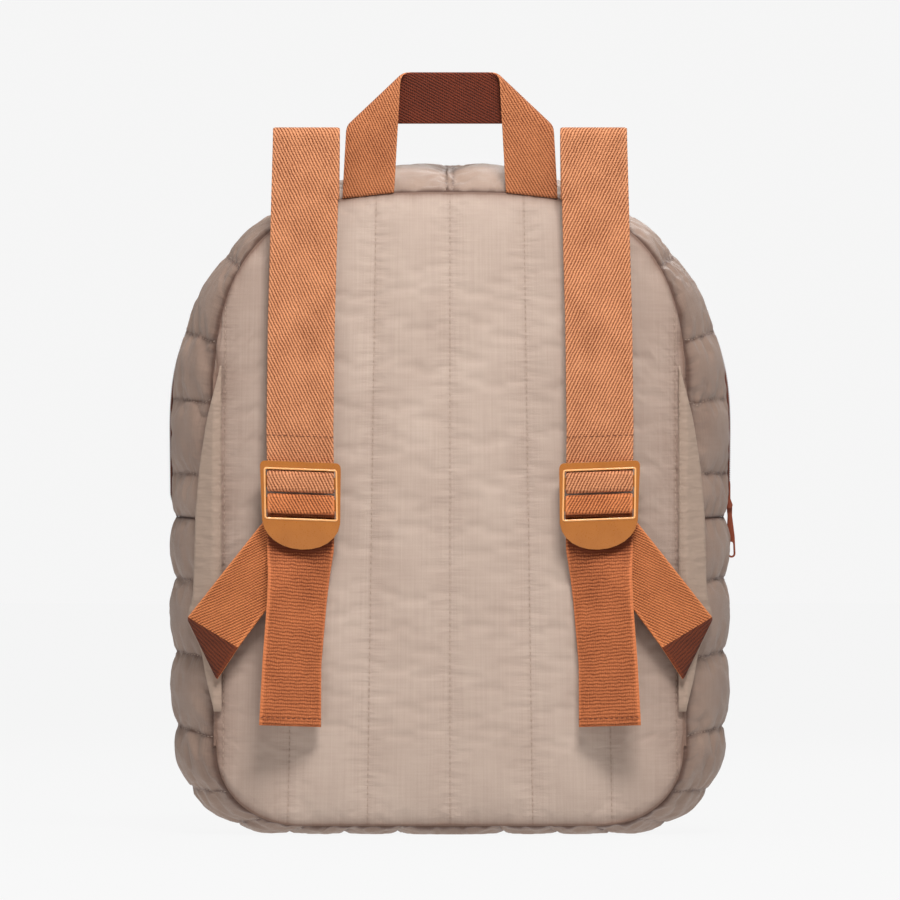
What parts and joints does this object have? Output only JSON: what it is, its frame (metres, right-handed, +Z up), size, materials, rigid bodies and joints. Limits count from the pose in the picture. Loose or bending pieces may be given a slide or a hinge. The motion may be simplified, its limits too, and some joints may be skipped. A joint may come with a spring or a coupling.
{
  "type": "quilted puffer backpack",
  "caption": "Small padded backpack with quilted channels, webbing shoulder straps in ladder-lock buckles, side wings, a folded carrying handle and a zip round its upper edge.",
  "frame": {"origin": "on the resting surface, under the zip plane, at the middle of the base", "axes": "+Z up the bag; -Y towards the wearer; +X towards the side with the zip pull"},
  "size_m": [0.3193, 0.1619, 0.4296],
  "materials": {
    "quilted_fabric": "matte",
    "wing_fabric": "matte",
    "strap_webbing": "matte",
    "lower_webbing": "matte",
    "handle_webbing": "matte",
    "buckle_plastic": "satin",
    "zip_tape": "matte",
    "zip_metal": "satin"
  },
  "bodies": {
    "bag": {"back_panel": "quilted_fabric", "front_panel": "quilted_fabric", "top_gusset_back": "quilted_fabric", "top_gusset_front": "quilted_fabric", "bottom_gusset": "quilted_fabric", "zip_tape": "zip_tape", "zip_slider": "zip_metal", "handle": "handle_webbing", "shoulder_strap_left": "strap_webbing", "buckle_left": "buckle_plastic", "lower_strap_left": "lower_webbing", "side_wing_left": "wing_fabric", "shoulder_strap_right": "strap_webbing", "buckle_right": "buckle_plastic", "lower_strap_right": "lower_webbing", "side_wing_right": "wing_fabric"},
    "zip_pull": {"zip_pull": "zip_metal"}
  },
  "joints": [
    {"name": "pull_swing", "type": "hinge", "parent": "bag", "child": "zip_pull", "pos_m": [0.15836, 0, 0.1855], "axis": [0, -1, 0], "range_deg": [0, 110]}
  ]
}
